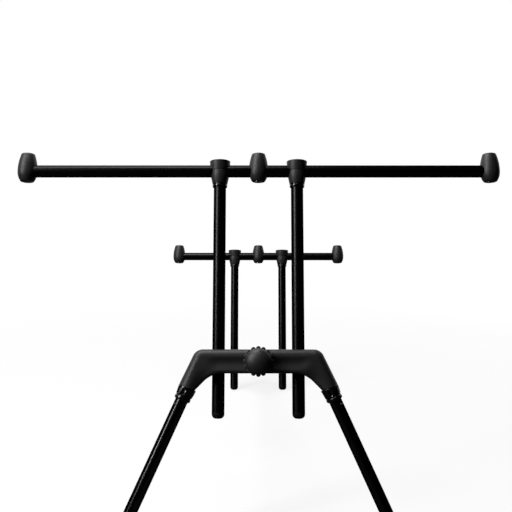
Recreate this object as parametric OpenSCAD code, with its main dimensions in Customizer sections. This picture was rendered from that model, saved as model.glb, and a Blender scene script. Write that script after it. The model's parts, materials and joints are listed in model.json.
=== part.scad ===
// Rod pod: a wide front goal and a narrow rear goal, each clamped in a moulded head by one knob,
// joined by a telescopic centre tube. Two splayed legs carry the front, and the lower ends of the
// rear uprights stand on the ground, so the pod leans back.
// The pod is drawn in its own frame (X right, Y from front to rear, Z along the uprights, origin in
// the middle of the front head) and on_ground() then leans it and stands it on Z = 0.

/* [Stance] */
// Lean of the pod, front raised, in degrees
lean = 16; // [10:0.5:20]
// Distance from the front uprights to the rear uprights
pod_length = 600; // [540:5:660]
// Distance between the two uprights of a goal
upright_spacing = 101; // [96:1:108]

/* [Tubes] */
// Outside diameter of the uprights, bars and legs
tube_d = 16; // [15:0.25:17]
// Wall of every tube
tube_wall = 1.5; // [1.2:0.1:1.8]
// Outside diameter of the centre tube's front half
centre_d = 22; // [21:0.5:24]
// Length of the centre tube's front half
centre_outer_length = 310; // [280:5:340]
// Overlap of the two halves of the centre tube
centre_overlap = 150; // [110:5:170]

/* [Front goal] */
// Height of the front bar's axis over the centre tube's axis
front_bar_height = 247; // [200:1:280]
// Reach of the front uprights below the centre tube's axis
front_drop = 71; // [50:1:100]
// Distance between the front bar's outer barrels
front_span = 608; // [480:1:700]

/* [Rear goal] */
// Height of the rear bar's axis over the centre tube's axis
rear_bar_height = 221; // [180:1:260]
// Reach of the rear uprights below the centre tube's axis
rear_drop = 60; // [45:1:90]
// Distance between the rear bar's outer barrels
rear_span = 339; // [260:1:420]

/* [Barrels] */
// Greatest diameter of a barrel
barrel_d = 25.2; // [23.5:0.1:27]
// Diameter of a barrel's top face
barrel_top_d = 17.2; // [14.5:0.1:19]
// Diameter of a barrel's bottom face
barrel_bottom_d = 17.8; // [14.5:0.1:19]
// Height of a barrel above the bar's axis
barrel_above = 23.5; // [19:0.5:28]
// Depth of a barrel below the bar's axis
barrel_below = 13.8; // [12:0.2:17]
// Outside diameter of the threaded bush in a barrel
bush_d = 11; // [10.6:0.1:12]
// Bore of the threaded bush, for a 3/8 inch fine thread
bush_bore = 8.5; // [8.3:0.05:8.8]

/* [Tees] */
// Diameter of a tee's rim
tee_rim_d = 27; // [25:0.1:30]
// Diameter of a tee at the bar's axis
tee_waist_d = 24.4; // [22:0.1:26]
// Diameter of a tee's lower end
tee_neck_d = 19.8; // [19:0.1:22]
// Height of a tee above the bar's axis
tee_above = 13.2; // [11.5:0.1:15]
// Depth of a tee below the bar's axis
tee_below = 16.5; // [15.5:0.1:19]
// Length of the ferrule under a tee
ferrule_length = 5.2; // [4:0.1:8]

/* [Heads] */
// Height of a head's bridge
bridge_h = 29.6; // [27:0.2:34]
// Depth of a head in front of the uprights
head_depth = 23; // [21.5:0.5:26]
// Depth of the saddle behind the uprights
saddle_depth = 17; // [15:0.5:21]
// Gap between a head and its saddle, which the knob closes
clamp_gap = 0.8; // [0.4:0.1:1.2]
// Rounding of a head's top and outer edges
crown_r = 8; // [6:0.5:9]
// Rounding of a head's lower edges
belly_r = 4; // [3:0.5:5]
// Radius of the shoulder over a leg
shoulder_r = 12.4; // [11:0.2:15]
// Slope of a leg arm's outer edge from the vertical, in degrees
flank_angle = 26.2; // [24:0.2:29]
// Place where the top and outer edges would meet, from the middle
flank_x = 77.5; // [75:0.5:84]
// Slope of a leg arm's inner edge from the vertical, in degrees
arch_angle = 45; // [42:1:50]
// Place where the bottom and inner edges would meet, from the middle
arch_x = 58.5; // [54:0.5:62]
// Radius between the bottom and inner edges
arch_r = 31; // [22:1:34]
// Half length of the rear head
rear_head_half = 74; // [70:0.5:80]
// Length of the saddle's socket for the centre tube
socket_length = 36; // [28:1:44]

/* [Knobs] */
// Diameter of a knob's smooth cap
knob_d = 32.4; // [28:0.2:35]
// Diameter over a knob's lobes
knob_lobe_d = 37.4; // [35:0.2:40]
// Number of lobes round a knob
knob_lobes = 16; // [12:1:20]
// Height of a knob
knob_h = 21; // [18:0.5:25]
// Diameter of the clamp stud
stud_d = 8; // [6:0.5:10]

/* [Legs] */
// Splay of a leg from the uprights, in degrees
leg_angle = 24.3; // [22:0.1:26]
// Place where a leg's axis crosses the centre tube's level, from the middle
leg_x = 73.5; // [71:0.5:77]
// Distance of the legs' plane in front of the uprights
leg_forward = 11.5; // [11:0.1:12]
// Distance along a leg from the centre tube's level to the arm's mouth
mouth_at = 35; // [32:0.5:40]
// Diameter of a leg collar at the arm
collar_d = 22.8; // [20.6:0.1:24]
// Length of a leg collar
collar_length = 17; // [14:0.5:20]
// Number of flutes round a collar
collar_flutes = 9; // [6:1:12]
// Travel of the telescopic leg
leg_travel = 110; // [60:5:130]
// Radius of a rubber foot
foot_r = 11; // [10:0.5:13]

/* [Fits] */
// Gap round what slides by hand
slide_gap = 0.3; // [0.2:0.05:0.4]
// Gap round what turns
turn_gap = 0.1; // [0.05:0.01:0.1]
// Gap round what is pressed or glued in
press_gap = 0.04; // [0.02:0.01:0.06]

/* [Hidden] */
$fn = 64;
sides = [-1, 1];
tube_r = tube_d / 2;
bore_r = tube_r - tube_wall;
half_spacing = upright_spacing / 2;
half_h = bridge_h / 2;

// Rounded end cap of an upright
cap_length = 8;
cap_corner = 5.5;
cap_spigot = 12;

// A barrel swells from its top face to its belt at the bar and draws in below it
barrel_r = barrel_d / 2;
barrel_belt = 4;
barrel_top_edge = 1;
barrel_bottom_edge = 0.8;
function swell(low, high, t) = low + (high - low) * sin(90 * t);
function between(from, to, t) = from + (to - from) * t;
barrel_lower = concat(
    [[barrel_bottom_d / 2 - barrel_bottom_edge, -barrel_below]],
    [for (t = [0:0.2:1]) [swell(barrel_bottom_d / 2, barrel_r, t),
        between(barrel_bottom_edge - barrel_below, -0.7 * barrel_belt, t)]]);
barrel_upper = concat(
    [for (t = [1:-0.125:0]) [swell(barrel_top_d / 2, barrel_r, t),
        between(barrel_above - barrel_top_edge, barrel_belt, t)]],
    [[barrel_top_d / 2 - barrel_top_edge, barrel_above]]);

// Stance: the lowest rim of the rear end caps and the front feet touch the ground
stand_z = (rear_drop - cap_corner) * cos(lean) + (pod_length + tube_r - cap_corner) * sin(lean) + cap_corner;
foot_at = (stand_z + leg_forward * sin(lean) - foot_r) / (cos(leg_angle) * cos(lean));
foot_y = -leg_forward * cos(lean) - foot_at * cos(leg_angle) * sin(lean);
stand_front = foot_y - foot_r;
stand_rear = pod_length * cos(lean)
    + max([for (p = barrel_upper) (rear_bar_height + p.y) * sin(lean) + p.x * cos(lean)]);
stand_y = -(stand_front + stand_rear) / 2;

// Telescopic legs
lock_length = 24;
lock_cover = 6;
foot_neck = 18;
foot_socket = 14;
lock_to_foot = 0.5;
leg_end = foot_at - foot_neck - lock_to_foot - (lock_length - lock_cover);
leg_start = 6;
slider_r = bore_r - 0.2;
slider_bore = slider_r - 1.2;
slider_overlap = 30;
slider_start = leg_end - leg_travel - slider_overlap;
expander_length = 14;
expander_r = bore_r - turn_gap;
rivet_at = 59;
rivet_turn = 38;
rivet_r = 1.7;
rivet_sink = 0.6;
rivet_plug = (tube_wall - rivet_sink) / 2;

// Centre tube
centre_r = centre_d / 2;
centre_bore = centre_r - tube_wall;
inner_r = centre_bore - slide_gap;
socket_floor = saddle_depth + 5;
boss_end = socket_floor + socket_length;
boss_wall = 4.5;
outer_end = socket_floor + centre_outer_length;
inner_start = outer_end - centre_overlap;
guide_length = 14;
guide_r = centre_bore - turn_gap;
centre_lock_length = 32;
centre_lock_cover = 9;
centre_lock_flutes = 10;

// Clamp stud, nut and washer
stud_r = stud_d / 2;
nut_r = stud_r + 3.2;
nut_length = 9;
nut_floor = socket_floor - 2;
washer_r = 10.5;
washer_h = 1.2;
washer_gap = 0.05;
knob_gap = 0.1;
knob_foot = head_depth + washer_gap + washer_h + knob_gap;
lobe_r = 2.9;
lobe_h = 9;
lobe_start = 1;

// Bars, barrels and tees
bar_stop = 8.5;
upright_top = tube_r + 4;
tee_lip = 0.6;
bolt_r = 2;
bolt_head_r = 3.6;
bolt_head_h = 3;
bolt_sink = 4;
bolt_nut_h = 3.2;

// Intersection of two lines given by the angle of their normal and their distance from the origin
function meet(a, p, b, q) = [p * sin(b) - q * sin(a), q * cos(a) - p * cos(b)] / sin(b - a);
function unit(a) = [cos(a), sin(a)];
function arc(centre, r, from, to, steps, left_out = 0) =
    [for (i = [0:steps - left_out]) centre + r * unit(from + (to - from) * i / steps)];

// Outline of the front head, drawn in by one amount on its top and outer edges and another below
flank_reach = [flank_x, half_h] * unit(flank_angle);
arch_normal = 180 + arch_angle;
arch_reach = [arch_x, -half_h] * unit(arch_normal);
mouth_normal = leg_angle - 90;
arm_reach = leg_x * sin(leg_angle) + mouth_at;
shoulder_centre = meet(90, half_h - shoulder_r, flank_angle, flank_reach - shoulder_r);
arch_centre = meet(arch_normal, arch_reach + arch_r, 270, half_h + arch_r);
function crown_line(inset) = concat(
    arc(shoulder_centre, shoulder_r - inset, 90, flank_angle, 8),
    [meet(flank_angle, flank_reach - inset, mouth_normal, arm_reach)]);
function belly_line(inset) = concat(
    [meet(mouth_normal, arm_reach, arch_normal, arch_reach - inset)],
    arc(arch_centre, -(arch_r + inset), arch_normal, 270, 8));

// Outline of a plain bridge with rounded ends
function bridge_crown(half_length, half_height, corner, inset) =
    arc([half_length - corner, half_height - corner], corner - inset, 90, 0, 8);
function bridge_belly(half_length, half_height, corner, inset) =
    arc([half_length - corner, corner - half_height], corner - inset, 0, -90, 8);

// One ring of a head at depth angle t: 0 is the flat face, 90 the full outline
function rounding(r, t) = r * (1 - sin(t));
function depth(r, t) = r * (1 - cos(t));
function half_ring(crown, belly, crown_y, belly_y) = concat(
    [for (p = crown) [p.x, crown_y, p.y]],
    [for (p = belly) [p.x, belly_y, p.y]]);
function ring(crown, belly, crown_y, belly_y) =
    let (half = half_ring(crown, belly, crown_y, belly_y))
    concat(half, [for (i = [len(half) - 1:-1:0]) [-half[i].x, half[i].y, half[i].z]]);

// Solid through rings that run clockwise seen from the front, first ring in front
module loft(rings) {
    n = len(rings[0]);
    last = len(rings) - 1;
    polyhedron(
        points = [for (r = rings) each r],
        faces = concat(
            [[for (i = [0:n - 1]) i]],
            [for (k = [0:last - 1], i = [0:n - 1]) [k * n + i, (k + 1) * n + i, (k + 1) * n + (i + 1) % n]],
            [for (k = [0:last - 1], i = [0:n - 1]) [k * n + i, (k + 1) * n + (i + 1) % n, k * n + (i + 1) % n]],
            [[for (i = [n - 1:-1:0]) last * n + i]]));
}

module on_ground() translate([0, stand_y, stand_z]) rotate([-lean, 0, 0]) children();
module at_rear() translate([0, pod_length, 0]) mirror([0, 1, 0]) children();
module facing_rear(y) translate([0, y, 0]) rotate([-90, 0, 0]) children();
module facing_front(y) translate([0, -y, 0]) rotate([90, 0, 0]) children();
module on_leg(side, at = 0)
    translate([side * leg_x, -leg_forward, 0]) rotate([0, side * (180 - leg_angle), 0])
    translate([0, 0, at]) children();
module across() rotate([0, 90, 0]) children();
module tube(length, r, inner) difference() {
    cylinder(h = length, r = r);
    translate([0, 0, -1]) cylinder(h = length + 2, r = inner);
}

// Heads and saddles
module upright_grooves() for (side = sides)
    translate([side * half_spacing, 0, -bridge_h]) cylinder(h = 2 * bridge_h, r = tube_r + slide_gap);
module stud_hole() facing_front(-1) cylinder(h = head_depth + 2, r = stud_r + slide_gap);
// The front head is a straight bridge between two arms that start where the arch begins
arm_root = arch_centre.x;
head_back = -clamp_gap / 2;
function arm_crown(inset) = concat([[arm_root, half_h - inset]], crown_line(inset));
module head_arm() loft(concat(
    [for (t = [0:15:90]) half_ring(
        arm_crown(rounding(crown_r, t)), belly_line(rounding(belly_r, t)),
        depth(crown_r, t) - head_depth, depth(belly_r, t) - head_depth)],
    [for (t = [90:-30:0]) half_ring(
        arm_crown(rounding(belly_r, t)), belly_line(rounding(belly_r, t)),
        head_back - depth(belly_r, t), head_back - depth(belly_r, t))]));
module head_bridge() translate([-arm_root, 0, 0]) rotate([90, 0, 90]) linear_extrude(height = 2 * arm_root)
    polygon(concat(
        [for (t = [0:15:90]) [depth(crown_r, t) - head_depth, half_h - rounding(crown_r, t)]],
        [for (t = [90:-30:0]) [head_back - depth(belly_r, t), half_h - rounding(belly_r, t)]],
        [for (t = [0:30:90]) [head_back - depth(belly_r, t), rounding(belly_r, t) - half_h]],
        [for (t = [90:-15:0]) [depth(belly_r, t) - head_depth, rounding(belly_r, t) - half_h]]));
module front_head_body() {
    head_bridge();
    for (side = [0, 1]) mirror([side, 0, 0]) head_arm();
}
module rear_head_body() loft(concat(
    [for (t = [0:15:90]) ring(
        bridge_crown(rear_head_half, half_h, shoulder_r, rounding(crown_r, t)),
        bridge_belly(rear_head_half, half_h, shoulder_r, rounding(belly_r, t)),
        depth(crown_r, t) - head_depth, depth(belly_r, t) - head_depth)],
    [for (t = [90:-30:0]) ring(
        bridge_crown(rear_head_half, half_h, shoulder_r, rounding(belly_r, t)),
        bridge_belly(rear_head_half, half_h, shoulder_r, rounding(belly_r, t)),
        head_back - depth(belly_r, t), head_back - depth(belly_r, t))]));
module front_yoke() color("#2b2c2e") on_ground() difference() {
    front_head_body();
    upright_grooves();
    stud_hole();
    for (side = sides) on_leg(side, leg_start) cylinder(h = foot_at, r = tube_r + press_gap);
}
module rear_yoke() color("#2b2c2e") on_ground() at_rear() difference() {
    rear_head_body();
    upright_grooves();
    stud_hole();
}
module saddle(socket_r) difference() {
    union() {
        saddle_half = half_spacing + tube_r + 8;
        saddle_height = half_h - 1.5;
        corner = 9;
        front = clamp_gap / 2;
        loft(concat(
            [for (t = [30:30:90]) ring(
                bridge_crown(saddle_half, saddle_height, corner, rounding(2, t)),
                bridge_belly(saddle_half, saddle_height, corner, rounding(2, t)),
                front + depth(2, t), front + depth(2, t))],
            [for (t = [90:-15:0]) ring(
                bridge_crown(saddle_half, saddle_height, corner, rounding(5, t)),
                bridge_belly(saddle_half, saddle_height, corner, rounding(5, t)),
                saddle_depth - depth(5, t), saddle_depth - depth(5, t))]));
        facing_rear(saddle_depth - 2) cylinder(h = boss_end - saddle_depth + 2, r = socket_r + boss_wall);
        for (side = sides) translate([0, saddle_depth - 1, 0]) linear_extrude(height = 6, center = true)
            polygon([[0, 0], [side * (half_spacing - 4), 0], [side * (socket_r + boss_wall - 1), boss_end - saddle_depth - 6]]);
    }
    upright_grooves();
    facing_rear(socket_floor) cylinder(h = boss_end, r = socket_r + press_gap);
    facing_rear(-1) cylinder(h = nut_floor + 1, r = stud_r + slide_gap);
    facing_rear(nut_floor - nut_length) cylinder(h = nut_length + 10, r = nut_r + press_gap);
}
module front_saddle() color("#2b2c2e") on_ground() saddle(centre_r);
module rear_saddle() color("#2b2c2e") on_ground() at_rear() saddle(inner_r);

// Clamp knobs
module nut() facing_rear(nut_floor - nut_length) tube(nut_length, nut_r, stud_r + turn_gap);
module washer() facing_front(head_depth + washer_gap) tube(washer_h, washer_r, stud_r + slide_gap);
// The cap's dome runs into a tighter rim without a crease
knob_cap_r = knob_d / 2;
knob_crown_r = 22;
knob_crown_edge = 12;
knob_foot_step = 0.8;
knob_crown_angle = acos(knob_crown_edge / knob_crown_r);
knob_rim_r = (knob_cap_r - knob_crown_edge) / (1 - knob_crown_edge / knob_crown_r);
knob_crown_centre = [0, knob_h - knob_crown_r];
knob_rim_centre = knob_crown_centre + (knob_crown_r - knob_rim_r) * unit(knob_crown_angle);
module knob() facing_front(knob_foot) difference() {
    union() {
        cylinder(h = lobe_h, r = knob_cap_r - knob_foot_step);
        rotate_extrude() polygon(concat(
            [[0, lobe_start], [knob_cap_r, lobe_start]],
            arc(knob_rim_centre, knob_rim_r, 0, knob_crown_angle, 8, 1),
            arc(knob_crown_centre, knob_crown_r, knob_crown_angle, 90, 4)));
        for (i = [0:knob_lobes - 1]) rotate([0, 0, i * 360 / knob_lobes])
            translate([knob_lobe_d / 2 - lobe_r, 0, lobe_start]) cylinder(h = lobe_h - lobe_start, r = lobe_r);
    }
    translate([0, 0, -1]) cylinder(h = knob_h - 6, r = stud_r + press_gap);
}
module stud() facing_front(-nut_floor + 0.5) cylinder(h = knob_foot + nut_floor + knob_h - 8, r = stud_r);
module front_nut() color("#b9a25c") on_ground() nut();
module rear_nut() color("#b9a25c") on_ground() at_rear() nut();
module front_washer() color("#17181a") on_ground() washer();
module rear_washer() color("#17181a") on_ground() at_rear() washer();
module front_knob() color("#27282a") on_ground() knob();
module rear_knob() color("#27282a") on_ground() at_rear() knob();
module front_stud() color("#b8babd") on_ground() stud();
module rear_stud() color("#b8babd") on_ground() at_rear() stud();

// Legs
module at_rivet(side) on_leg(side, rivet_at) rotate([0, 0, -90 - side * rivet_turn]) across() children();
module leg_tube(side) color("#131415") on_ground() difference() {
    on_leg(side, leg_start) tube(leg_end - leg_start, tube_r, bore_r);
    at_rivet(side) cylinder(h = tube_d, r = rivet_r + press_gap);
}
// A rivet is a short plug in the leg tube's wall with a round head
module leg_rivets() color("#9a9c9f") on_ground() for (side = sides)
    at_rivet(side) translate([0, 0, tube_r - rivet_sink]) rotate_extrude() {
        translate([0, -rivet_plug]) square([rivet_r, rivet_plug]);
        intersection() {
            circle(r = rivet_r);
            square(rivet_r);
        }
    }
module leg_collar(side) color("#0e0f10") on_ground() on_leg(side, mouth_at + slide_gap) difference() {
    r = collar_d / 2;
    skirt = collar_length - 5;
    rotate_extrude() polygon([
        [tube_r + turn_gap, 0], [r - 0.6, 0], [r, 0.6], [r, 2], [r - 0.4, skirt * 0.6], [r - 1, skirt - 1.2],
        [r - 1.8, skirt - 0.4], [r - 1.8, skirt + 0.5], [r - 1.1, skirt + 1.1], [r - 1.1, skirt + 3],
        [r - 1.9, collar_length], [tube_r + turn_gap, collar_length]]);
    for (i = [0:collar_flutes - 1]) rotate([0, 0, i * 360 / collar_flutes])
        translate([r + 1.1, 0, 2.4]) cylinder(h = skirt - 4.4, r = 1.9);
}
module leg_lock(side) color("#0e0f10") on_ground() on_leg(side, leg_end - lock_cover) difference() {
    r = tube_r + 2.6;
    rotate_extrude() polygon([
        [0, 0], [r - 0.8, 0], [r, 0.8], [r, lock_length * 0.7], [r - 1.6, lock_length - 1], [r - 2.6, lock_length],
        [0, lock_length]]);
    translate([0, 0, -1]) cylinder(h = lock_cover + 1 + slide_gap, r = tube_r + turn_gap);
    cylinder(h = lock_length + 1, r = slider_r + slide_gap);
    for (i = [0:collar_flutes - 1]) rotate([0, 0, i * 360 / collar_flutes])
        translate([r + 1.1, 0, 3]) cylinder(h = lock_length * 0.6, r = 1.9);
}
module leg_slider(side) color("#1a1b1c") on_ground()
    on_leg(side, slider_start) tube(foot_at - foot_neck + foot_socket - slider_start, slider_r, slider_bore);
module leg_expander(side) color("#0e0f10") on_ground() on_leg(side, slider_start - expander_length) {
    cylinder(h = expander_length - press_gap, r = expander_r);
    translate([0, 0, expander_length - 1]) cylinder(h = 11, r = slider_bore - press_gap);
}
module foot(side) color("#1c1c1c") on_ground() on_leg(side, foot_at - foot_neck) difference() {
    union() {
        rotate_extrude() polygon([[0, 0], [tube_r + 0.2, 0], [tube_r + 0.8, 0.8], [foot_r - 1.6, foot_neck * 0.55],
            [foot_r * cos(20), foot_neck - foot_r * sin(20)], [0, foot_neck]]);
        translate([0, 0, foot_neck]) sphere(r = foot_r);
    }
    translate([0, 0, -1]) cylinder(h = foot_socket + 1, r = slider_r + press_gap);
}
module left_leg_tube() leg_tube(-1);
module right_leg_tube() leg_tube(1);
module left_leg_collar() leg_collar(-1);
module right_leg_collar() leg_collar(1);
module left_leg_lock() leg_lock(-1);
module right_leg_lock() leg_lock(1);
module left_leg_slider() leg_slider(-1);
module right_leg_slider() leg_slider(1);
module left_leg_expander() leg_expander(-1);
module right_leg_expander() leg_expander(1);
module left_foot() foot(-1);
module right_foot() foot(1);

// Goals: a goal stands in the XZ plane with its bar at the given height
module front_goal(x = 0) on_ground() translate([x, 0, front_bar_height]) children();
module rear_goal(x = 0) on_ground() translate([x, pod_length, rear_bar_height]) children();
module bush_holes(span) for (x = [-span / 2, 0, span / 2])
    translate([x, 0, -tube_d]) cylinder(h = 2 * tube_d, r = bush_d / 2 + press_gap);
module bolt_holes() for (side = sides)
    translate([side * half_spacing, 0, -tube_d]) cylinder(h = 2 * tube_d, r = bolt_r + press_gap);
module bar(span) difference() {
    half = span / 2 + bar_stop;
    translate([-half, 0, 0]) across() tube(2 * half, tube_r, bore_r);
    bush_holes(span);
    bolt_holes();
}
module barrel(end = 0) difference() {
    rotate_extrude() polygon(concat([[0, -barrel_below]], barrel_lower, barrel_upper, [[0, barrel_above]]));
    translate([end == 0 ? -barrel_d : end > 0 ? -barrel_d : -bar_stop - press_gap, 0, 0]) across()
        cylinder(h = end == 0 ? 2 * barrel_d : barrel_d + bar_stop + press_gap, r = tube_r + press_gap);
    translate([0, 0, -2 * barrel_above]) cylinder(h = 4 * barrel_above, r = bush_d / 2 + press_gap);
}
bush_lip = 0.4;
module bushes(span) for (x = [-span / 2, 0, span / 2])
    translate([x, 0, -barrel_below - bush_lip])
    tube(barrel_above + barrel_below + bush_lip - 0.6, bush_d / 2, bush_bore / 2);
// The tee's lower half carries the bar and takes the upright, and its cap closes over the bar
module tee() difference() {
    neck_r = tee_neck_d / 2;
    rotate_extrude() polygon([[0, -tee_below], [neck_r, -tee_below],
        [tee_waist_d / 2 - 0.5, -tee_below / 2], [tee_waist_d / 2, -press_gap], [0, -press_gap]]);
    translate([-tee_rim_d, 0, 0]) across() cylinder(h = 2 * tee_rim_d, r = tube_r + press_gap);
    translate([0, 0, -tee_below - 1]) cylinder(h = tee_below + 1 - upright_top, r = tube_r + press_gap);
    translate([0, 0, -tee_below]) cylinder(h = tee_below, r = bolt_r + press_gap);
}
module tee_cap() difference() {
    rim_r = tee_rim_d / 2;
    rotate_extrude() polygon([[0, press_gap], [tee_waist_d / 2, press_gap], [rim_r, tee_above - tee_lip],
        [rim_r, tee_above - tee_lip / 2], [rim_r - tee_lip, tee_above], [0, tee_above]]);
    translate([-tee_rim_d, 0, 0]) across() cylinder(h = 2 * tee_rim_d, r = tube_r + press_gap);
    cylinder(h = tee_above, r = bolt_r + press_gap);
    translate([0, 0, tee_above - bolt_sink]) cylinder(h = bolt_sink + 1, r = bolt_head_r + press_gap);
}
module tee_bolt() {
    difference() {
        translate([0, 0, tee_above - bolt_sink]) cylinder(h = bolt_head_h, r = bolt_head_r);
        translate([0, 0, tee_above - bolt_sink + 1]) cylinder(h = bolt_head_h, r = 1.8, $fn = 6);
    }
    translate([0, 0, -upright_top - bolt_nut_h]) cylinder(h = tee_above - bolt_sink + upright_top + bolt_nut_h, r = bolt_r);
    translate([0, 0, -upright_top - bolt_nut_h - press_gap]) cylinder(h = bolt_nut_h, r = 4, $fn = 6);
}
module ferrule() translate([0, 0, -tee_below - ferrule_length]) difference() {
    r = tee_neck_d / 2;
    rotate_extrude() polygon([[0, 0], [r - 1, 0], [r - 0.2, 0.8], [r - 0.2, ferrule_length * 0.55], [r - 0.7, ferrule_length * 0.62],
        [r - 0.7, ferrule_length * 0.74], [r, ferrule_length * 0.82], [r, ferrule_length - press_gap],
        [0, ferrule_length - press_gap]]);
    translate([0, 0, -1]) cylinder(h = ferrule_length + 2, r = tube_r + press_gap);
}
module upright(reach) translate([0, 0, cap_length - reach]) tube(reach - cap_length - upright_top, tube_r, bore_r);
module end_cap(reach) translate([0, 0, -reach]) {
    rotate_extrude() {
        square([tube_r - cap_corner, cap_length - press_gap]);
        translate([0, cap_corner]) square([tube_r, cap_length - press_gap - cap_corner]);
        intersection() {
            translate([tube_r - cap_corner, cap_corner]) circle(r = cap_corner);
            square([tube_r, cap_corner]);
        }
    }
    translate([0, 0, cap_length - 1]) cylinder(h = cap_spigot, r = bore_r - press_gap);
}
front_reach = front_bar_height + front_drop;
rear_reach = rear_bar_height + rear_drop;
module front_bar() color("#141516") front_goal() bar(front_span);
module rear_bar() color("#141516") rear_goal() bar(rear_span);
module front_barrel_left() color("#26272a") front_goal(-front_span / 2) barrel(-1);
module front_barrel_centre() color("#26272a") front_goal() barrel();
module front_barrel_right() color("#26272a") front_goal(front_span / 2) barrel(1);
module rear_barrel_left() color("#26272a") rear_goal(-rear_span / 2) barrel(-1);
module rear_barrel_centre() color("#26272a") rear_goal() barrel();
module rear_barrel_right() color("#26272a") rear_goal(rear_span / 2) barrel(1);
module front_bushes() color("#c0c2c4") front_goal() bushes(front_span);
module rear_bushes() color("#c0c2c4") rear_goal() bushes(rear_span);
module front_tee_left() color("#26272a") front_goal(-half_spacing) tee();
module front_tee_right() color("#26272a") front_goal(half_spacing) tee();
module rear_tee_left() color("#26272a") rear_goal(-half_spacing) tee();
module rear_tee_right() color("#26272a") rear_goal(half_spacing) tee();
module front_tee_caps() color("#2b2c2e") for (side = sides) front_goal(side * half_spacing) tee_cap();
module rear_tee_caps() color("#2b2c2e") for (side = sides) rear_goal(side * half_spacing) tee_cap();
module front_tee_bolts() color("#3a3b3d") for (side = sides) front_goal(side * half_spacing) tee_bolt();
module rear_tee_bolts() color("#3a3b3d") for (side = sides) rear_goal(side * half_spacing) tee_bolt();
module front_ferrules() color("#0e0f10") for (side = sides) front_goal(side * half_spacing) ferrule();
module rear_ferrules() color("#0e0f10") for (side = sides) rear_goal(side * half_spacing) ferrule();
module front_upright_left() color("#131415") front_goal(-half_spacing) upright(front_reach);
module front_upright_right() color("#131415") front_goal(half_spacing) upright(front_reach);
module rear_upright_left() color("#131415") rear_goal(-half_spacing) upright(rear_reach);
module rear_upright_right() color("#131415") rear_goal(half_spacing) upright(rear_reach);
module front_end_caps() color("#1d1e1f") for (side = sides) front_goal(side * half_spacing) end_cap(front_reach);
module rear_end_caps() color("#1d1e1f") for (side = sides) rear_goal(side * half_spacing) end_cap(rear_reach);

// Telescopic centre tube
module centre_outer() color("#131415") on_ground()
    facing_rear(socket_floor) tube(centre_outer_length, centre_r, centre_bore);
module centre_inner() color("#1a1b1c") on_ground()
    facing_rear(inner_start) tube(pod_length - socket_floor - inner_start, inner_r, inner_r - tube_wall);
module centre_guide() color("#0e0f10") on_ground() facing_rear(inner_start - guide_length) {
    cylinder(h = guide_length - press_gap, r = guide_r);
    translate([0, 0, guide_length - 1]) cylinder(h = 13, r = inner_r - tube_wall - press_gap);
}
module centre_lock() color("#0e0f10") on_ground() facing_rear(outer_end - centre_lock_cover) difference() {
    r = centre_r + 3.6;
    rotate_extrude() polygon([[0, 0], [r - 1, 0], [r, 1], [r, centre_lock_length * 0.7],
        [r - 2, centre_lock_length - 1.4], [r - 3.4, centre_lock_length], [0, centre_lock_length]]);
    translate([0, 0, -1]) cylinder(h = centre_lock_cover + 1 + slide_gap, r = centre_r + turn_gap);
    cylinder(h = centre_lock_length + 1, r = inner_r + slide_gap);
    for (i = [0:centre_lock_flutes - 1]) rotate([0, 0, i * 360 / centre_lock_flutes])
        translate([r + 1.4, 0, 3]) cylinder(h = centre_lock_length * 0.6, r = 2.4);
}

front_yoke();
front_saddle();
front_nut();
front_washer();
front_knob();
front_stud();
left_leg_tube();
right_leg_tube();
leg_rivets();
left_leg_collar();
right_leg_collar();
left_leg_lock();
right_leg_lock();
left_leg_slider();
right_leg_slider();
left_leg_expander();
right_leg_expander();
left_foot();
right_foot();
front_bar();
front_barrel_left();
front_barrel_centre();
front_barrel_right();
front_bushes();
front_tee_left();
front_tee_right();
front_tee_caps();
front_tee_bolts();
front_ferrules();
front_upright_left();
front_upright_right();
front_end_caps();
centre_outer();
centre_inner();
centre_guide();
centre_lock();
rear_yoke();
rear_saddle();
rear_nut();
rear_washer();
rear_knob();
rear_stud();
rear_bar();
rear_barrel_left();
rear_barrel_centre();
rear_barrel_right();
rear_bushes();
rear_tee_left();
rear_tee_right();
rear_tee_caps();
rear_tee_bolts();
rear_ferrules();
rear_upright_left();
rear_upright_right();
rear_end_caps();
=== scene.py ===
# %% [markdown]
# # A rod pod, from CAD frame to finished look
# The CAD part gives every piece its size, its place and its joint. This lesson dresses that frame:
# it replaces the plain mouldings by smooth ones, gives each piece the finish of its real material,
# and sets the light and the camera of the photograph.

# %% Load the CAD frame
import json
import math

import bmesh
import bpy
from mathutils import Matrix, Vector


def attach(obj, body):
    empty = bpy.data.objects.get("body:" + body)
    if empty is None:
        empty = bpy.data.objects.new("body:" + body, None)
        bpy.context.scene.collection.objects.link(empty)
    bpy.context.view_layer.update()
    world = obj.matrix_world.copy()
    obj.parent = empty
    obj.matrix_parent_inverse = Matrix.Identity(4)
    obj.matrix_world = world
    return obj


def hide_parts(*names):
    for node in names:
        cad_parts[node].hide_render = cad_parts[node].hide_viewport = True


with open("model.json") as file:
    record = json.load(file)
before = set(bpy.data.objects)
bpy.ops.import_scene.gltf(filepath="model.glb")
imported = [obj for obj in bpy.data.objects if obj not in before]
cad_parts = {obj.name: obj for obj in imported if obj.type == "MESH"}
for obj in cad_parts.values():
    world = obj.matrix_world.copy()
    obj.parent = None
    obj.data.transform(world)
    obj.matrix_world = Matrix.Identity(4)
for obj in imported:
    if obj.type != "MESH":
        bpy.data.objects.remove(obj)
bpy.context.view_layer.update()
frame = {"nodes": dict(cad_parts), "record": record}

# %% [markdown]
# The pod leans back, so it is easier to draw each piece in the pod's own frame: X to the right,
# Y from the front goal to the rear one, Z along the uprights, in millimetres, with the origin in
# the middle of the front head. One matrix then leans the piece, stands it on the ground and turns
# millimetres into metres. A second one mirrors a piece to the rear head, and a third lies along a leg.

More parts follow.
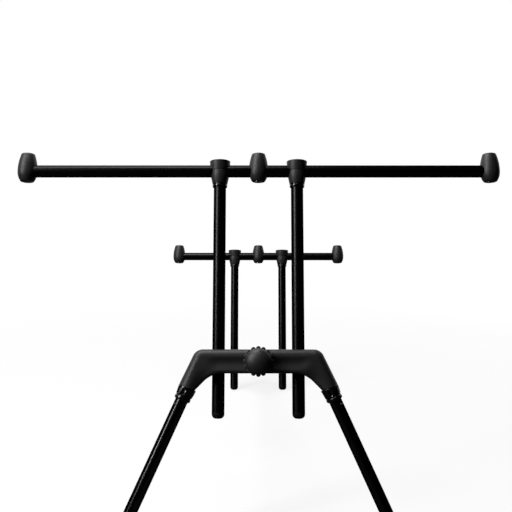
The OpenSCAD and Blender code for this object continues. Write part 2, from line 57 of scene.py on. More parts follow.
# %% Frames for the front, the rear and the legs
LEAN = math.radians(16)
POD_LENGTH = 600
HEAD_PLACE = (0, -0.28417, 0.22396)
MM = 0.001
POD = Matrix.Translation(HEAD_PLACE) @ Matrix.Rotation(-LEAN, 4, "X") @ Matrix.Diagonal((MM, MM, MM, 1))
FRONT = Matrix.Identity(4)
REAR = Matrix.Translation((0, POD_LENGTH, 0)) @ Matrix.Diagonal((1, -1, 1, 1))
TOWARD_REAR = Matrix.Rotation(-math.pi / 2, 4, "X")
TOWARD_FRONT = Matrix.Rotation(math.pi / 2, 4, "X")
LEG_ANGLE = math.radians(24.3)
LEG_X = 73.5
LEG_FORWARD = 11.5


def along_leg(side, distance):
    """Frame whose Z runs down a leg, with its origin that far from the head's middle level."""
    turn = Matrix.Rotation(side * (math.pi - LEG_ANGLE), 4, "Y")
    top = Matrix.Translation((side * LEG_X, -LEG_FORWARD, 0))
    return top @ turn @ Matrix.Translation((0, 0, distance))


print("front head at", [round(v, 3) for v in POD @ Vector((0, 0, 0))])

# %% [markdown]
# The photograph was taken from in front, with a normal lens. The camera's place comes from fitting
# the two goals: the same tubes look smaller on the rear one.

# %% Camera
CAMERA_PLACE = (-0.3, -909.4, 2.0)
LOOK_UP = math.radians(8.3)
LOOK_LEFT = math.radians(0.18)


def put(name, data):
    """New object in the scene."""
    made = bpy.data.objects.new(name, data)
    bpy.context.scene.collection.objects.link(made)
    return made


camera_data = bpy.data.cameras.new("camera")
camera_data.lens = 50
camera_data.sensor_width = 36
camera = put("camera", camera_data)
camera.location = POD @ Vector(CAMERA_PLACE)
camera.rotation_euler = (math.radians(90) + LOOK_UP - LEAN, 0, LOOK_LEFT)
bpy.context.scene.camera = camera
print("camera at", [round(v, 3) for v in camera.location])

# %% [markdown]
# Colours are written as the hex codes a paint program shows. The shader wants linear light, so one
# function converts them. Three more add nodes: any node, one that maps a value from one range to
# another, and one that combines two values. The last function makes a finish of them.

# %% Colour and material helpers
def linear(code):
    """Linear colour of an sRGB hex code."""
    parts = [int(code[i:i + 2], 16) / 255 for i in (1, 3, 5)]
    return [p / 12.92 if p <= 0.04045 else ((p + 0.055) / 1.055) ** 2.4 for p in parts] + [1]


def add_node(owner, kind, **values):
    """New node of a material or the world, with its inputs or properties set."""
    node = owner.node_tree.nodes.new(kind)
    for key, value in values.items():
        if key in node.inputs:
            node.inputs[key].default_value = value
        else:
            setattr(node, key, value)
    return node


def mapped(owner, value, low, high, start=0, end=1):
    """Value that runs from low to high while another runs from start to end."""
    node = add_node(owner, "ShaderNodeMapRange")
    limits = {"From Min": start, "From Max": end, "To Min": low, "To Max": high}
    for key, limit in limits.items():
        node.inputs[key].default_value = limit
    owner.node_tree.links.new(value, node.inputs["Value"])
    return node.outputs["Result"]


def combined(owner, operation, first, second):
    """Product, maximum or the like of two values."""
    node = add_node(owner, "ShaderNodeMath", operation=operation)
    owner.node_tree.links.new(first, node.inputs[0])
    owner.node_tree.links.new(second, node.inputs[1])
    return node.outputs[0]


def finish(name, code, roughness, metallic=0, shine=0.5, edge="#ffffff", grain_mm=0, grain_depth=0,
           mottle=0):
    """Material of one colour, with an optional fine grain in its surface and its gloss."""
    material = bpy.data.materials.new(name)
    material.use_nodes = True
    shader = material.node_tree.nodes["Principled BSDF"]
    shader.inputs["Base Color"].default_value = linear(code)
    shader.inputs["Roughness"].default_value = roughness
    shader.inputs["Metallic"].default_value = metallic
    shader.inputs["Specular IOR Level"].default_value = shine
    shader.inputs["Specular Tint"].default_value = linear(edge)
    link = material.node_tree.links.new
    if grain_mm:
        place = add_node(material, "ShaderNodeTexCoord")
        grain = add_node(material, "ShaderNodeTexNoise", Scale=1 / (grain_mm * MM), Detail=3)
        bump = add_node(material, "ShaderNodeBump", Strength=0.5, Distance=grain_depth * MM)
        link(place.outputs["Object"], grain.inputs["Vector"])
        link(grain.outputs["Fac"], bump.inputs["Height"])
        link(bump.outputs["Normal"], shader.inputs["Normal"])
        if mottle:
            gloss = mapped(material, grain.outputs["Fac"], roughness - mottle, roughness + mottle)
            link(gloss, shader.inputs["Roughness"])
    return material


# %% [markdown]
# The tubes are black anodised aluminium: dark, with a narrow clear highlight. The heads, tees,
# barrels and knobs are moulded nylon with a fine spark texture. Collars and ferrules are glossy,
# the feet and end caps are rubber, and the bushes, studs and nuts are bare metal. Two more finishes
# are for a few nodes only: the rivet heads on the legs are blackened, so they only glint, and the leg
# tubes get a smoother copy of the tube finish whose colour is lightened to paint a brighter
# highlight line on them.

# %% Finishes
TUBE = {"metallic": 1, "edge": "#404040", "grain_mm": 0.9, "grain_depth": 0.002}
ANODISED = finish("black anodised aluminium", "#242425", 0.3, **TUBE)
SLIDER = finish("dark anodised aluminium", "#28292b", 0.3, **TUBE)
# Leg tubes: a smoother copy of the tube finish, its colour lightened to paint a brighter highlight line.
LEG_TUBE_PAINTED_HIGHLIGHT = finish("smooth anodised aluminium with painted highlight", "#3a3a3c", 0.2, **TUBE)
NYLON = finish("moulded nylon", "#1e1e1f", 0.5, grain_mm=0.5, grain_depth=0.012, mottle=0.06)
GLOSS = finish("gloss moulded plastic", "#08080a", 0.18)
RUBBER = finish("matte rubber", "#0d0d0e", 0.6, shine=0.12, grain_mm=0.7, grain_depth=0.02)
STEEL = finish("turned steel", "#b9bbbe", 0.28, metallic=1)
BRASS = finish("turned brass", "#b49a55", 0.3, metallic=1)
BLACKENED = finish("blackened steel", "#4a4b4d", 0.4, metallic=1)
slot_finish = {"anodised": ANODISED, "anodised_slider": SLIDER, "moulded": NYLON, "gloss": GLOSS,
               "rubber": RUBBER, "steel": STEEL, "brass": BRASS}
# The leg tubes take the lightened copy with its painted brighter highlight; the rivets take blackened steel.
own_finish = {"leg_rivets": BLACKENED, "left_leg_tube": LEG_TUBE_PAINTED_HIGHLIGHT, "right_leg_tube": LEG_TUBE_PAINTED_HIGHLIGHT}
node_slot = {part["node"]: part["material_slot"] for part in frame["record"]["subparts"]}
for name, node in frame["nodes"].items():
    node.data.materials.clear()
    node.data.materials.append(own_finish.get(name, slot_finish[node_slot[name]]))
print("slots:", len(slot_finish), "CAD nodes dressed:", len(frame["nodes"]))

# %% [markdown]
# Every moulding is made of the same few moves. These functions bevel vertices or edges, extrude
# faces, cut long edges finer and join one shape to another.

# %% Modelling moves
CLOSE = 1e-4


def bevel(bm, geom, offset, segments, affect="EDGES"):
    """Rounds edges or vertices, which are cut back by the offset."""
    bmesh.ops.bevel(bm, geom=geom, affect=affect, offset=offset, offset_type="OFFSET",
                    segments=segments, profile=0.5, material=-1)


def extrude(bm, faces, shift):
    """Extrudes faces by a vector."""
    made = bmesh.ops.extrude_face_region(bm, geom=faces)
    moved = [g for g in made["geom"] if isinstance(g, bmesh.types.BMVert)]
    bmesh.ops.translate(bm, verts=moved, vec=shift)


def refine(bm, longest, cuts):
    """Cuts the edges that are longer than a length."""
    edges = [e for e in bm.edges if e.calc_length() > longest]
    bmesh.ops.subdivide_edges(bm, edges=edges, cuts=cuts)


def join(bm, part):
    """Adds a copy of another shape."""
    mesh = bpy.data.meshes.new("part")
    part.to_mesh(mesh)
    bm.from_mesh(mesh)
    bpy.data.meshes.remove(mesh)


# %% [markdown]
# Most mouldings of the pod are turned shapes. A wire through the corners of half a cross-section is
# rounded by a vertex bevel and spun about Z: the corners stay easy to read and to change. A closed
# wire makes a ring, which leaves room for the tube or bush inside.

# %% Turned shapes
FLUTE_FADE = 1.2


def wire(corners, rounds, closed):
    """Wire in the XZ plane through (radius, height) corners, each cut back by its rounding."""
    bm = bmesh.new()
    verts = [bm.verts.new((r, 0, z)) for r, z in corners]
    ends = verts[1:] + verts[:1] if closed else verts[1:]
    for a, b in zip(verts, ends):
        bm.edges.new((a, b))
    for vert, cut in zip(verts, rounds):
        if cut:
            bevel(bm, [vert], offset=cut, segments=5, affect="VERTICES")
    return bm


def spin(bm, steps=72):
    """Full turn of a wire about Z, closed into a solid skin."""
    bmesh.ops.spin(bm, geom=bm.verts[:] + bm.edges[:], cent=(0, 0, 0), axis=(0, 0, 1),
                   angle=2 * math.pi, steps=steps, use_merge=True)
    bmesh.ops.remove_doubles(bm, verts=bm.verts, dist=CLOSE)
    bmesh.ops.recalc_face_normals(bm, faces=bm.faces)
    return bm


def turned(corners, rounds, closed=True, steps=72):
    """Solid of revolution about Z."""
    return spin(wire(corners, rounds, closed), steps)


def off_rib(point, count):
    """Angle in degrees from the nearest of that many evenly spaced ribs, the first along X."""
    return (math.degrees(math.atan2(point.y, point.x)) + 180 / count) % (360 / count) - 180 / count


def flute(bm, count, low, high, depth, width):
    """Presses shallow flutes into a turned shape between two heights, fading out at their ends."""
    for vert in bm.verts:
        radius = math.hypot(vert.co.x, vert.co.y)
        across = radius * math.radians(off_rib(vert.co, count)) / width
        along = min(vert.co.z - low, high - vert.co.z)
        if abs(across) < 1 and along > 0:
            press = depth * (1 - across * across) * min(1, along / FLUTE_FADE)
            vert.co.xy *= (radius - press) / radius


# %% [markdown]
# A finished shape is copied to each of its places, smoothed, and made one piece: it rides on a body,
# stands for CAD nodes and has their material slot.

# %% Pieces
SHARP = math.radians(32)


def add_piece(name, bm, places, body, nodes, slot):
    """Copies a shape to each place in the pod's frame and makes it one piece that stands for CAD nodes."""
    mesh = bpy.data.meshes.new(name)
    whole = bmesh.new()
    for place in places:
        copy = bm.copy()
        bmesh.ops.transform(copy, matrix=POD @ place, verts=copy.verts)
        join(whole, copy)
        copy.free()
    bmesh.ops.recalc_face_normals(whole, faces=whole.faces)
    whole.to_mesh(mesh)
    whole.free()
    mesh.materials.append(slot_finish[slot])
    mesh.shade_smooth()
    mesh.set_sharp_from_angle(angle=SHARP)
    made = put(name, mesh)
    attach(made, body)
    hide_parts(*nodes)
    print(name, "faces", len(mesh.polygons))


# %% [markdown]
# A goal is a bar on two uprights. Barrels on the bar hold the threaded bushes, tees join the bar to
# the uprights, and a ferrule closes each tee. Both goals use the same mouldings.

# %% Goals: sizes and places
HALF_SPACING = 50.5
TUBE_R = 8
goals = {"front": {"y": 0, "height": 247, "span": 608, "drop": 71},
         "rear": {"y": POD_LENGTH, "height": 221, "span": 339, "drop": 60}}


def on_bar(end, x):
    """Frame on a goal's bar, with Z along the uprights."""
    return Matrix.Translation((x, goals[end]["y"], goals[end]["height"]))


print("goals:", goals)

# %% Barrels
barrel = turned(
    [(5.55, -13.8), (8.4, -13.8), (11.2, -9), (12.55, -3.5), (12.6, 4.5), (11.4, 14), (8.55, 23.45),
     (5.55, 23.45)],
    [0, 0.9, 3, 2.5, 4, 4.5, 1, 0])
for end, goal in goals.items():
    for place, x in (("left", -goal["span"] / 2), ("centre", 0), ("right", goal["span"] / 2)):
        name = f"{end}_barrel_{place}"
        add_piece(name + "_look", barrel, [on_bar(end, x)], f"{end}_goal", [name], "moulded")

# %% [markdown]
# A tee is moulded in two halves that meet at the bar's axis, so a fine parting line runs round it.
# The upper half is a cup with a rim and a sunk bolt; the lower half narrows to the ferrule.

# %% Tees and ferrules
tee = turned(
    [(8.05, -16.5), (9.9, -16.5), (11.7, -8.25), (12.2, -0.12), (2.1, -0.12), (2.1, -11.9), (8.05, -11.9)],
    [0, 0.4, 2, 0.3, 0, 0, 0])
cap = turned(
    [(2.1, 0.12), (12.2, 0.12), (13.5, 12.5), (13.4, 13.2), (3.66, 13.2), (3.66, 9.2), (2.1, 9.2)],
    [0, 0.3, 0.3, 0.4, 0.4, 0, 0])
ferrule = turned(
    [(8.05, -21.7), (9, -21.7), (9.7, -21), (9.7, -18.9), (9.2, -18.5), (9.2, -17.9), (9.9, -17.5),
     (9.9, -16.6), (8.05, -16.6)],
    [0, 0.4, 0.4, 0.3, 0.2, 0.2, 0.3, 0.4, 0])
for end in goals:
    sides = [on_bar(end, -HALF_SPACING), on_bar(end, HALF_SPACING)]
    for place, side in zip(("left", "right"), sides):
        name = f"{end}_tee_{place}"
        add_piece(name + "_look", tee, [side], f"{end}_goal", [name], "moulded")
    add_piece(f"{end}_tee_caps_look", cap, sides, f"{end}_goal", [f"{end}_tee_caps"], "moulded")
    add_piece(f"{end}_ferrules_look", ferrule, sides, f"{end}_goal", [f"{end}_ferrules"], "gloss")

# %% [markdown]
# The uprights end in rubber caps: a plug with a well rounded rim, flush with the tube.

# %% End caps
CAP_H = 7.96
end_cap = turned([(0, 0), (TUBE_R, 0), (TUBE_R, CAP_H), (0, CAP_H)], [0, 5.5, 0.3, 0], closed=False)
for end, goal in goals.items():
    feet = [Matrix.Translation((x, goal["y"], -goal["drop"])) for x in (-HALF_SPACING, HALF_SPACING)]
    add_piece(f"{end}_end_caps_look", end_cap, feet, f"{end}_goal", [f"{end}_end_caps"], "rubber")

# %% [markdown]
# The legs carry a fluted collar at the head's arm, a twist lock where the tube telescopes, and a
# rubber foot with a round sole. The foot's ball is an arc, made by spinning one vertex.

# %% Leg collars, locks and feet
COLLAR_AT = 35.3
FOOT_AT = 246.67
FOOT_NECK = 18
LOCK_AT = FOOT_AT - 42.5
SOLE_ARC = math.radians(110)
collar = turned(
    [(8.12, 0), (11.4, 0), (11.4, 2), (11, 7.4), (10.4, 10.8), (9.6, 11.5), (9.6, 12.5), (10.3, 13.1),
     (10.3, 15.2), (9.5, 17), (8.12, 17)],
    [0, 0.6, 0.6, 2, 0.5, 0.3, 0.3, 0.4, 0.8, 0.6, 0], steps=144)
refine(collar, longest=1.5, cuts=3)
flute(collar, count=9, low=1.6, high=10.6, depth=1, width=3.1)
lock = turned(
    [(8.12, 0), (10.6, 0), (10.6, 16.8), (9, 23), (8, 24), (6.62, 24), (6.62, 7), (8.12, 7)],
    [0, 0.8, 2, 0.8, 0.5, 0, 0, 0], steps=144)
refine(lock, longest=3, cuts=6)
flute(lock, count=9, low=2, high=16.5, depth=0.75, width=1.9)
foot = wire([(0, 14), (6.35, 14), (6.35, 0), (8.2, 0), (8.8, 0.8), (9.4, 9.9), (10.34, 14.24)],
            [0, 0, 0, 0.3, 0.4, 3, 0], closed=False)
sole = max(foot.verts, key=lambda v: v.co.z + v.co.x)
bmesh.ops.spin(foot, geom=[sole], cent=(0, 0, FOOT_NECK), axis=(0, 1, 0), angle=-SOLE_ARC, steps=14)
max(foot.verts, key=lambda v: v.co.z).co.x = 0
spin(foot)
for name, side in (("left", -1), ("right", 1)):
    add_piece(f"{name}_leg_collar_look", collar, [along_leg(side, COLLAR_AT)], f"{name}_collar",
              [f"{name}_leg_collar"], "gloss")
    add_piece(f"{name}_leg_lock_look", lock, [along_leg(side, LOCK_AT)], f"{name}_lock",
              [f"{name}_leg_lock"], "gloss")
    add_piece(f"{name}_foot_look", foot, [along_leg(side, FOOT_AT - FOOT_NECK)], f"{name}_leg",
              [f"{name}_foot"], "rubber")

# %% [markdown]
# The centre tube telescopes too, with a larger lock of the same kind.

# %% Centre lock
CENTRE_LOCK_PLACE = Matrix.Translation((0, 323, 0)) @ TOWARD_REAR
centre_lock = turned(
    [(11.12, 0), (14.6, 0), (14.6, 22.4), (12.6, 30.6), (11.2, 32), (9.52, 32), (9.52, 10), (11.12, 10)],
    [0, 1, 2.5, 1, 0.6, 0, 0, 0], steps=160)
refine(centre_lock, longest=3, cuts=7)
flute(centre_lock, count=10, low=2.4, high=22, depth=1, width=2.4)
add_piece("centre_lock_look", centre_lock, [CENTRE_LOCK_PLACE], "tube_lock", ["centre_lock"], "gloss")

# %% [markdown]
# A clamp knob has a smooth domed cap over a ring of lobes. The ring starts as a circle of many
# points that are pushed out into lobes, then extruded and bevelled. The dome is two arcs: one vertex
# spun about the dome's centre, then its edge spun about the skirt's. The line is closed towards the
# axis and spun about it.

# %% Knobs
KNOB_PLACE = Matrix.Translation((0, -24.35, 0)) @ TOWARD_FRONT
KNOB_H = 21
LOBES = 16
LOBE_R = 2.9
LOBE_CENTRE = 15.8
LOBE_FOOT = 1
LOBE_H = 8
VALLEY = 0.04
CROWN_R = 22
CROWN_EDGE = 12
SKIRT_CENTRE = (6.96, 0, 9.6947)
SKIRT_R = 16.2
SKIRT_FOOT = 8
knob = bmesh.new()
bmesh.ops.create_circle(knob, cap_ends=True, segments=LOBES * 12, radius=LOBE_CENTRE)
for vert in knob.verts:
    angle = math.radians(off_rib(vert.co, LOBES))
    beside = LOBE_CENTRE * math.sin(angle)
    reach = LOBE_CENTRE * math.cos(angle) + math.sqrt(max(VALLEY, LOBE_R ** 2 - beside ** 2))
    vert.co = vert.co.normalized() * reach
    vert.co.z = LOBE_FOOT
extrude(knob, knob.faces[:], (0, 0, LOBE_H))
level = [e for e in knob.edges if abs(e.verts[0].co.z - e.verts[1].co.z) < CLOSE]
bevel(knob, level, offset=0.9, segments=4)
dome = bmesh.new()
crown = dome.verts.new((0, 0, KNOB_H))
bmesh.ops.spin(dome, geom=[crown], cent=(0, 0, KNOB_H - CROWN_R), axis=(0, 1, 0),
               angle=math.asin(CROWN_EDGE / CROWN_R), steps=10)
edge = max(dome.verts, key=lambda v: v.co.x)
bmesh.ops.spin(dome, geom=[edge], cent=SKIRT_CENTRE, axis=(0, 1, 0),
               angle=math.acos(CROWN_EDGE / CROWN_R), steps=10)
edge = max(dome.verts, key=lambda v: v.co.x)
under = dome.verts.new((SKIRT_R, 0, SKIRT_FOOT))
dome.edges.new((edge, under))
dome.edges.new((under, dome.verts.new((0, 0, SKIRT_FOOT))))
spin(dome, steps=96)
join(knob, dome)
for end, place in (("front", FRONT), ("rear", REAR)):
    add_piece(f"{end}_knob_look", knob, [place @ KNOB_PLACE], f"{end}_clamp", [f"{end}_knob"], "moulded")

# %% [markdown]
# The front head is the pod's main moulding: a bridge, rounded shoulders and two splayed arms. It
# starts as one flat face through the outline's corners. Vertex bevels round the shoulders and the
# arch, an extrusion gives it depth, and edge bevels round its crown more than its belly. Last, the
# face is cut into strips and pressed into a shallow cove, the arms are rounded about the legs, and
# the tubes' holes are bored. The rear head is a plain bar with round ends and the same cove.

# %% Outline of the heads
HALF_H = 14.8
DEPTH = 23
BACK = -0.4
FLANK = math.radians(26.2)
ARCH = math.radians(45)
SHOULDER_X = 77.5
SHOULDER_CUT = 7.72
ARCH_X = 58.5
ARCH_CUT = 12.84
ARM_LENGTH = 35
REAR_END = 74
REAR_CORNER = 12.4
ARM_DOWN = Vector((math.sin(LEG_ANGLE), -math.cos(LEG_ANGLE)))


def crossing(p, a, q, b):
    """Point where the line through p along a meets the line through q along b, in the XZ plane."""
    t = ((q - p).x * b.y - (q - p).y * b.x) / (a.x * b.y - a.y * b.x)
    return p + a * t


shoulder = Vector((SHOULDER_X, HALF_H))
arch = Vector((ARCH_X, -HALF_H))
mouth = Vector((LEG_X, 0)) + ARM_DOWN * ARM_LENGTH
across = Vector((math.cos(LEG_ANGLE), math.sin(LEG_ANGLE)))
outer = crossing(shoulder, Vector((math.sin(FLANK), -math.cos(FLANK))), mouth, across)
inner = crossing(arch, Vector((math.sin(ARCH), -math.cos(ARCH))), mouth, across)
front_half = [(shoulder, SHOULDER_CUT), (outer, 0), (inner, 0), (arch, ARCH_CUT)]
rear_half = [(Vector((REAR_END, HALF_H)), REAR_CORNER), (Vector((REAR_END, -HALF_H)), REAR_CORNER)]
print("arm mouth from", [round(v, 1) for v in inner], "to", [round(v, 1) for v in outer])

# %% [markdown]
# The edge bevels have to tell the outline's edges apart: the arms' mouths stay sharp, and the crown
# gets a larger rounding than the belly. On the rear head, whose ends are round, one even bevel is
# made to grow smoothly from belly to crown.

# %% Heads with rounded edges
CROWN_ROUND = 8
BELLY_ROUND = 4
EVEN_ROUND = 6
CROWN_SLOPE = -0.6


def is_mouth(edge):
    """True for an edge that lies in the plane of an arm's mouth."""
    reach = [Vector((abs(v.co.x), v.co.z)).dot(ARM_DOWN) - mouth.dot(ARM_DOWN) for v in edge.verts]
    return max(abs(r) for r in reach) < 10 * CLOSE


def is_crown(point):
    """True on the front outline's top and outer edges, which end at a slope through the arm's mouth."""
    middle = (outer + inner) / 2
    return point.z > 0 or abs(point.x) > middle.x + (point.z - middle.y) * CROWN_SLOPE


def rim(bm, y, crowned):
    """Outline edges at one depth, but for the mouths: the crown's, the belly's, or both for None."""
    found = [e for e in bm.edges if all(abs(v.co.y - y) < CLOSE for v in e.verts) and not is_mouth(e)]
    return [e for e in found if crowned in (None, is_crown((e.verts[0].co + e.verts[1].co) / 2))]


def head(half, rounds):
    """Moulding through half an outline and its mirror image, rounded on every edge but the mouths."""
    bm = bmesh.new()
    corners = half + [(Vector((-p.x, p.y)), cut) for p, cut in reversed(half)]
    verts = [bm.verts.new((p.x, -DEPTH, p.y)) for p, cut in corners]
    bm.faces.new(verts)
    for vert, (p, cut) in zip(verts, corners):
        if cut:
            bevel(bm, [vert], offset=cut, segments=10, affect="VERTICES")
    extrude(bm, bm.faces[:], (0, DEPTH + BACK, 0))
    bmesh.ops.recalc_face_normals(bm, faces=bm.faces)
    for y, crowned, r in rounds:
        bevel(bm, rim(bm, y, crowned), offset=r, segments=6)
    return bm


def grow_crown(bm):
    """Makes the even rounding of the rear head's face grow from the belly's to the crown's."""
    reach = Vector((REAR_END - REAR_CORNER, HALF_H - REAR_CORNER))
    for vert in bm.verts:
        behind = vert.co.y + DEPTH
        if behind > EVEN_ROUND + CLOSE:
            continue
        core = Vector([max(-r, min(r, v)) for r, v in zip(reach, vert.co.xz)])
        off = vert.co.xz - core
        up = off.y / off.length
        grow = (CROWN_ROUND * (1 + up) + BELLY_ROUND * (1 - up)) / 2 / EVEN_ROUND
        place = core + off.normalized() * (REAR_CORNER - (REAR_CORNER - off.length) * grow)
        vert.co = (place.x, behind * grow - DEPTH, place.y)


front_rounds = ((-DEPTH, True, CROWN_ROUND), (-DEPTH, False, BELLY_ROUND), (BACK, None, BELLY_ROUND))
front_head = head(front_half, front_rounds)
rear_head = head(rear_half, ((-DEPTH, None, EVEN_ROUND), (BACK, None, BELLY_ROUND)))
grow_crown(rear_head)
print("head faces", len(front_head.faces), len(rear_head.faces))

# %% [markdown]
# The cove is pressed into the flat face: cuts along and across it give vertices to move. The arms'
# faces are cut in the same way and curve back about the legs, more and more towards the mouths.

# %% Cove and round arms
COVE_LOW = -12.4
COVE_HIGH = 4.6
COVE_DEPTH = 1.6
COVE_FLOOR = 0.62
COVE_FADE = 16
COVE_STEPS = (0, 0.12, 0.24, 0.36, 0.48, 0.58, 0.65, 0.72, 0.8, 0.88, 0.95, 1)
FADE_STEPS = 6
ARM_ROUND = 0.045
ARM_HALF_WIDTH = 12
ARM_FROM = 48
ARM_STRIP = 2.2
ARM_STEP = 5


def cove_depth(s):
    """Depth of the cove from its lower edge, 0, to the crease under the crown, 1: steep below the crease."""
    if s < COVE_FLOOR:
        return COVE_DEPTH * (1 - math.cos(math.pi * s / COVE_FLOOR)) / 2
    return COVE_DEPTH * (1 - ((s - COVE_FLOOR) / (1 - COVE_FLOOR)) ** 2)


def is_front(face):
    """True for a face that lies in the front plane."""
    return all(abs(v.co.y + DEPTH) < CLOSE for v in face.verts)


def slice_faces(bm, faces, place, normal):
    """Cuts some faces by a plane."""
    geom = faces + list({e for f in faces for e in f.edges}) + list({v for f in faces for v in f.verts})
    bmesh.ops.bisect_plane(bm, geom=geom, dist=CLOSE, plane_co=place, plane_no=normal)


def press_cove(bm, half_length):
    """Presses a cove along a head's face, which fades out towards the arms."""
    height = COVE_HIGH - COVE_LOW
    cuts = [((0, 0, COVE_LOW + height * s), (0, 0, 1)) for s in COVE_STEPS]
    for side in (-1, 1):
        for i in range(FADE_STEPS + 1):
            cuts.append(((side * (half_length + COVE_FADE * i / FADE_STEPS), 0, 0), (1, 0, 0)))
    for place, normal in cuts:
        slice_faces(bm, [f for f in bm.faces if is_front(f)], place, normal)
    for vert in bm.verts:
        s = (vert.co.z - COVE_LOW) / height
        if abs(vert.co.y + DEPTH) < CLOSE and 0 < s < 1:
            past = min(1, max(0, abs(vert.co.x) - half_length) / COVE_FADE)
            vert.co.y += cove_depth(s) * (1 + math.cos(math.pi * past)) / 2


def round_arms(bm):
    """Rounds the arms' faces about the legs, more and more towards the mouths."""
    for side in (-1, 1):
        start = Vector((side * LEG_X, 0, 0))
        down = Vector((side * math.sin(LEG_ANGLE), 0, -math.cos(LEG_ANGLE)))
        sideways = Vector((math.cos(LEG_ANGLE), 0, side * math.sin(LEG_ANGLE)))
        cuts = [(start + sideways * ARM_STRIP * i, sideways) for i in range(-3, 4)]
        cuts += [(start + down * ARM_STEP * i, down) for i in range(ARM_LENGTH // ARM_STEP)]
        for place, normal in cuts:
            faces = [f for f in bm.faces if is_front(f) and f.calc_center_median().x * side > ARM_FROM]
            slice_faces(bm, faces, place, normal)
        for vert in bm.verts:
            share = min(1, max(0, (vert.co - start).dot(down) / ARM_LENGTH))
            off = min(ARM_HALF_WIDTH, abs((vert.co - start).dot(sideways)))
            ahead = (BACK - vert.co.y) / DEPTH
            if vert.co.x * side > 0:
                vert.co.y += ARM_ROUND * off ** 2 * share ** 2 * (3 - 2 * share) * ahead


press_cove(front_head, half_length=50)
round_arms(front_head)
press_cove(rear_head, half_length=44)
print("head faces after the cuts", len(front_head.faces), len(rear_head.faces))

# %% [markdown]
# A Boolean modifier bores the holes: half grooves for the uprights behind the head, sockets for the
# legs and a hole for the clamp's stud. The cutters are cylinders that are thrown away afterwards.

# %% Bored heads
UPRIGHT_GAP = 0.3
SOCKET_GAP = 0.04
STUD_HOLE_R = 4.3
CUTTER_REACH = 40
SOCKET_FROM = 6
SOCKET_TO = 60


def cylinder(bm, r, start, end):
    """Adds a round bar between two points."""
    along = Vector(end) - Vector(start)
    turn = along.to_track_quat("Z", "Y").to_matrix().to_4x4()
    place = Matrix.Translation((Vector(start) + Vector(end)) / 2) @ turn
    bmesh.ops.create_cone(bm, cap_ends=True, segments=64, radius1=r, radius2=r, depth=along.length,
                          matrix=place)


def bored(bm, cutters):
    """Shape with the cutters taken out of it."""
    made = []
    for shape in (bm, cutters):
        mesh = bpy.data.meshes.new("bore")
        shape.to_mesh(mesh)
        shape.free()
        made.append(put("bore", mesh))
    bore = made[0].modifiers.new("bore", "BOOLEAN")
    bore.object = made[1]
    bore.solver = "EXACT"
    result = bmesh.new()
    result.from_object(made[0], bpy.context.evaluated_depsgraph_get())
    for mesh in [thing.data for thing in made]:
        bpy.data.meshes.remove(mesh)
    return result


def upright_cutters():
    """Cylinders for the two uprights and the stud."""
    bm = bmesh.new()
    for x in (-HALF_SPACING, HALF_SPACING):
        cylinder(bm, TUBE_R + UPRIGHT_GAP, (x, 0, -CUTTER_REACH), (x, 0, CUTTER_REACH))
    cylinder(bm, STUD_HOLE_R, (0, -CUTTER_REACH, 0), (0, CUTTER_REACH, 0))
    return bm


front_cutters = upright_cutters()
for side in (-1, 1):
    leg = along_leg(side, 0)
    ends = [leg @ Vector((0, 0, distance)) for distance in (SOCKET_FROM, SOCKET_TO)]
    cylinder(front_cutters, TUBE_R + SOCKET_GAP, *ends)
front_head = bored(front_head, front_cutters)
rear_head = bored(rear_head, upright_cutters())
add_piece("front_yoke_look", front_head, [FRONT], "front_frame", ["front_yoke"], "moulded")
add_piece("rear_yoke_look", rear_head, [REAR], "rear_frame", ["rear_yoke"], "moulded")

# %% [markdown]
# Behind each head a saddle closes the clamp and carries the centre tube in a boss, with a gusset on
# each side. It is a block with bevelled edges, bored like the head, and the boss is a turned socket.

# %% Saddles
SADDLE_SIZE = (133, 16.6, 26.6)
SADDLE_FACE = 0.4
SADDLE_BACK = 17
BOSS_FROM = 15
BOSS_TO = 58
BOSS_WALL = 4.46
BOSS_FLOOR = 22
GUSSET_FROM = 16
GUSSET_TO = 51
GUSSET_REACH = 46.5
GUSSET_HALF = 3


def saddle(boss_r):
    """Clamp block with the centre tube's boss."""
    bm = bmesh.new()
    middle = Matrix.Translation((0, (SADDLE_FACE + SADDLE_BACK) / 2, 0))
    bmesh.ops.create_cube(bm, size=1, matrix=middle @ Matrix.Diagonal((*SADDLE_SIZE, 1)))
    corners = [e for e in bm.edges if abs(e.verts[0].co.y - e.verts[1].co.y) > 1]
    bevel(bm, corners, offset=9, segments=8)
    for y, r in ((SADDLE_BACK, 5), (SADDLE_FACE, 1)):
        edges = [e for e in bm.edges if all(abs(v.co.y - y) < 10 * CLOSE for v in e.verts)]
        bevel(bm, edges, offset=r, segments=5)
    bm = bored(bm, upright_cutters())
    socket_r = boss_r - BOSS_WALL
    boss = turned([(0, BOSS_FROM), (boss_r, BOSS_FROM), (boss_r, BOSS_TO), (socket_r, BOSS_TO),
                   (socket_r, BOSS_FLOOR), (0, BOSS_FLOOR)],
                  [0, 0, 1.2, 0.4, 0, 0], closed=False)
    bmesh.ops.transform(boss, matrix=TOWARD_REAR, verts=boss.verts)
    join(bm, boss)
    for side in (-1, 1):
        points = [(boss_r - 2, GUSSET_FROM), (GUSSET_REACH, GUSSET_FROM), (boss_r - 1, GUSSET_TO)]
        gusset = bm.faces.new([bm.verts.new((side * x, y, -GUSSET_HALF)) for x, y in points])
        extrude(bm, [gusset], (0, 0, 2 * GUSSET_HALF))
    return bm


add_piece("front_saddle_look", saddle(boss_r=15.5), [FRONT], "front_frame", ["front_saddle"], "moulded")
add_piece("rear_saddle_look", saddle(boss_r=13.7), [REAR], "rear_frame", ["rear_saddle"], "moulded")

# %% [markdown]
# The photograph is a catalogue shot: a white floor runs into a white backdrop, and the room behind
# the camera is dark. The camera sees both as pure white, apart from the object's soft shadow. So do
# reflections behind the pod; in front of it they show the floor fading into the dark room. To all
# other rays the floor is a plain grey, so it throws little light up.

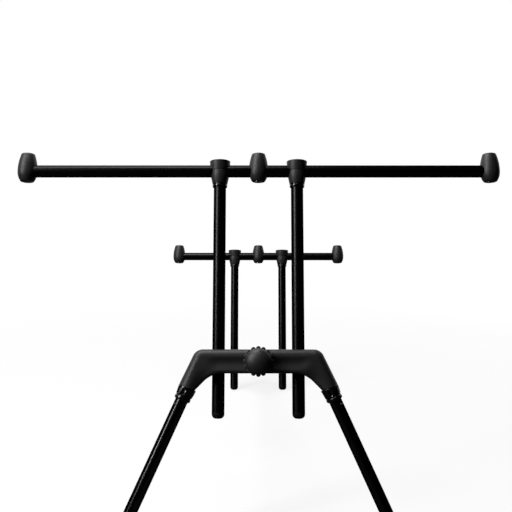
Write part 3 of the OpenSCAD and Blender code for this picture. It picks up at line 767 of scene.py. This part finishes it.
# %% Floor and backdrop
SHADOW_REACH = 1.2
SHADOW = 0.2
WHITE_FROM = 0.9
WHITE_TO = 2.5
FLOOR_GREY = 0.05
SHEET_HALF = 8
BACKDROP_PLACE = Matrix.Translation((0, 4, 0)) @ TOWARD_FRONT


def white_to_camera(name, shadow):
    """Grey surface that the camera, and reflections behind the pod, see as white but for the shadow."""
    material = bpy.data.materials.new(name)
    material.use_nodes = True
    material.node_tree.nodes.clear()
    link = material.node_tree.links.new
    rays = add_node(material, "ShaderNodeLightPath").outputs
    place = add_node(material, "ShaderNodeTexCoord").outputs["Object"]
    scaled = add_node(material, "ShaderNodeVectorMath", operation="SCALE", Scale=1 / SHADOW_REACH)
    near = add_node(material, "ShaderNodeTexGradient", gradient_type="SPHERICAL")
    parts = add_node(material, "ShaderNodeSeparateXYZ")
    plain = add_node(material, "ShaderNodeBsdfDiffuse")
    glow = add_node(material, "ShaderNodeEmission", Strength=1)
    mix = add_node(material, "ShaderNodeMixShader")
    out = add_node(material, "ShaderNodeOutputMaterial")
    link(place, scaled.inputs[0])
    link(scaled.outputs["Vector"], near.inputs["Vector"])
    link(place, parts.inputs[0])
    white = mapped(material, near.outputs["Fac"], 1, 1 - shadow)
    behind = mapped(material, parts.outputs["Y"], 0, 1, WHITE_FROM, WHITE_TO)
    reflected = combined(material, "MAXIMUM", rays["Is Glossy Ray"], rays["Is Transmission Ray"])
    seen = combined(material, "MULTIPLY", rays["Is Camera Ray"], white)
    mirrored = combined(material, "MULTIPLY", reflected, behind)
    link(mapped(material, rays["Is Camera Ray"], FLOOR_GREY, 1), plain.inputs["Color"])
    link(combined(material, "MAXIMUM", seen, mirrored), mix.inputs["Fac"])
    link(plain.outputs[0], mix.inputs[1])
    link(glow.outputs[0], mix.inputs[2])
    link(mix.outputs[0], out.inputs["Surface"])
    return material


def sheet(name, place, shadow):
    """Square white sheet of the studio."""
    bm = bmesh.new()
    bmesh.ops.create_grid(bm, x_segments=1, y_segments=1, size=SHEET_HALF, matrix=place)
    mesh = bpy.data.meshes.new(name)
    bm.to_mesh(mesh)
    bm.free()
    mesh.materials.append(white_to_camera(name, shadow))
    made = put(name, mesh)
    print(name, "faces", len(mesh.polygons))


sheet("white floor", Matrix.Identity(4), SHADOW)
sheet("white backdrop", BACKDROP_PLACE, 0)

# %% [markdown]
# Two lamps light the pod. A tall strip at the left draws the thin line on each tube, the crescent on
# the knob and the knob's shadow. A wide lamp overhead brings out the crown of the heads and the tops
# of the bars, and leaves their faces dark. The world adds little; the camera sees it as white.

# %% Lamps
WORLD_GREY = 0.003


def lamp(name, place, aim, width, height, power):
    """Rectangular soft lamp that points at a place."""
    data = bpy.data.lights.new(name, "AREA")
    data.shape = "RECTANGLE"
    data.size = width
    data.size_y = height
    data.energy = power
    made = put(name, data)
    made.location = place
    made.rotation_euler = (Vector(aim) - Vector(place)).to_track_quat("-Z", "Y").to_euler()


lamp("key", place=(-1.55, -1.2, 1.5), aim=(0, -0.25, 0.35), width=0.36, height=1.7, power=38)
lamp("top", place=(-0.5, -0.05, 1.9), aim=(-0.1, -0.1, 0.25), width=0.9, height=1, power=26)
world = bpy.data.worlds.new("studio")
bpy.context.scene.world = world
world.use_nodes = True
camera_ray = add_node(world, "ShaderNodeLightPath").outputs["Is Camera Ray"]
sky = world.node_tree.nodes["Background"].inputs["Color"]
world.node_tree.links.new(mapped(world, camera_ray, WORLD_GREY, 1), sky)
bpy.context.scene.view_settings.view_transform = "Standard"
print("lamps:", len(bpy.data.lights))
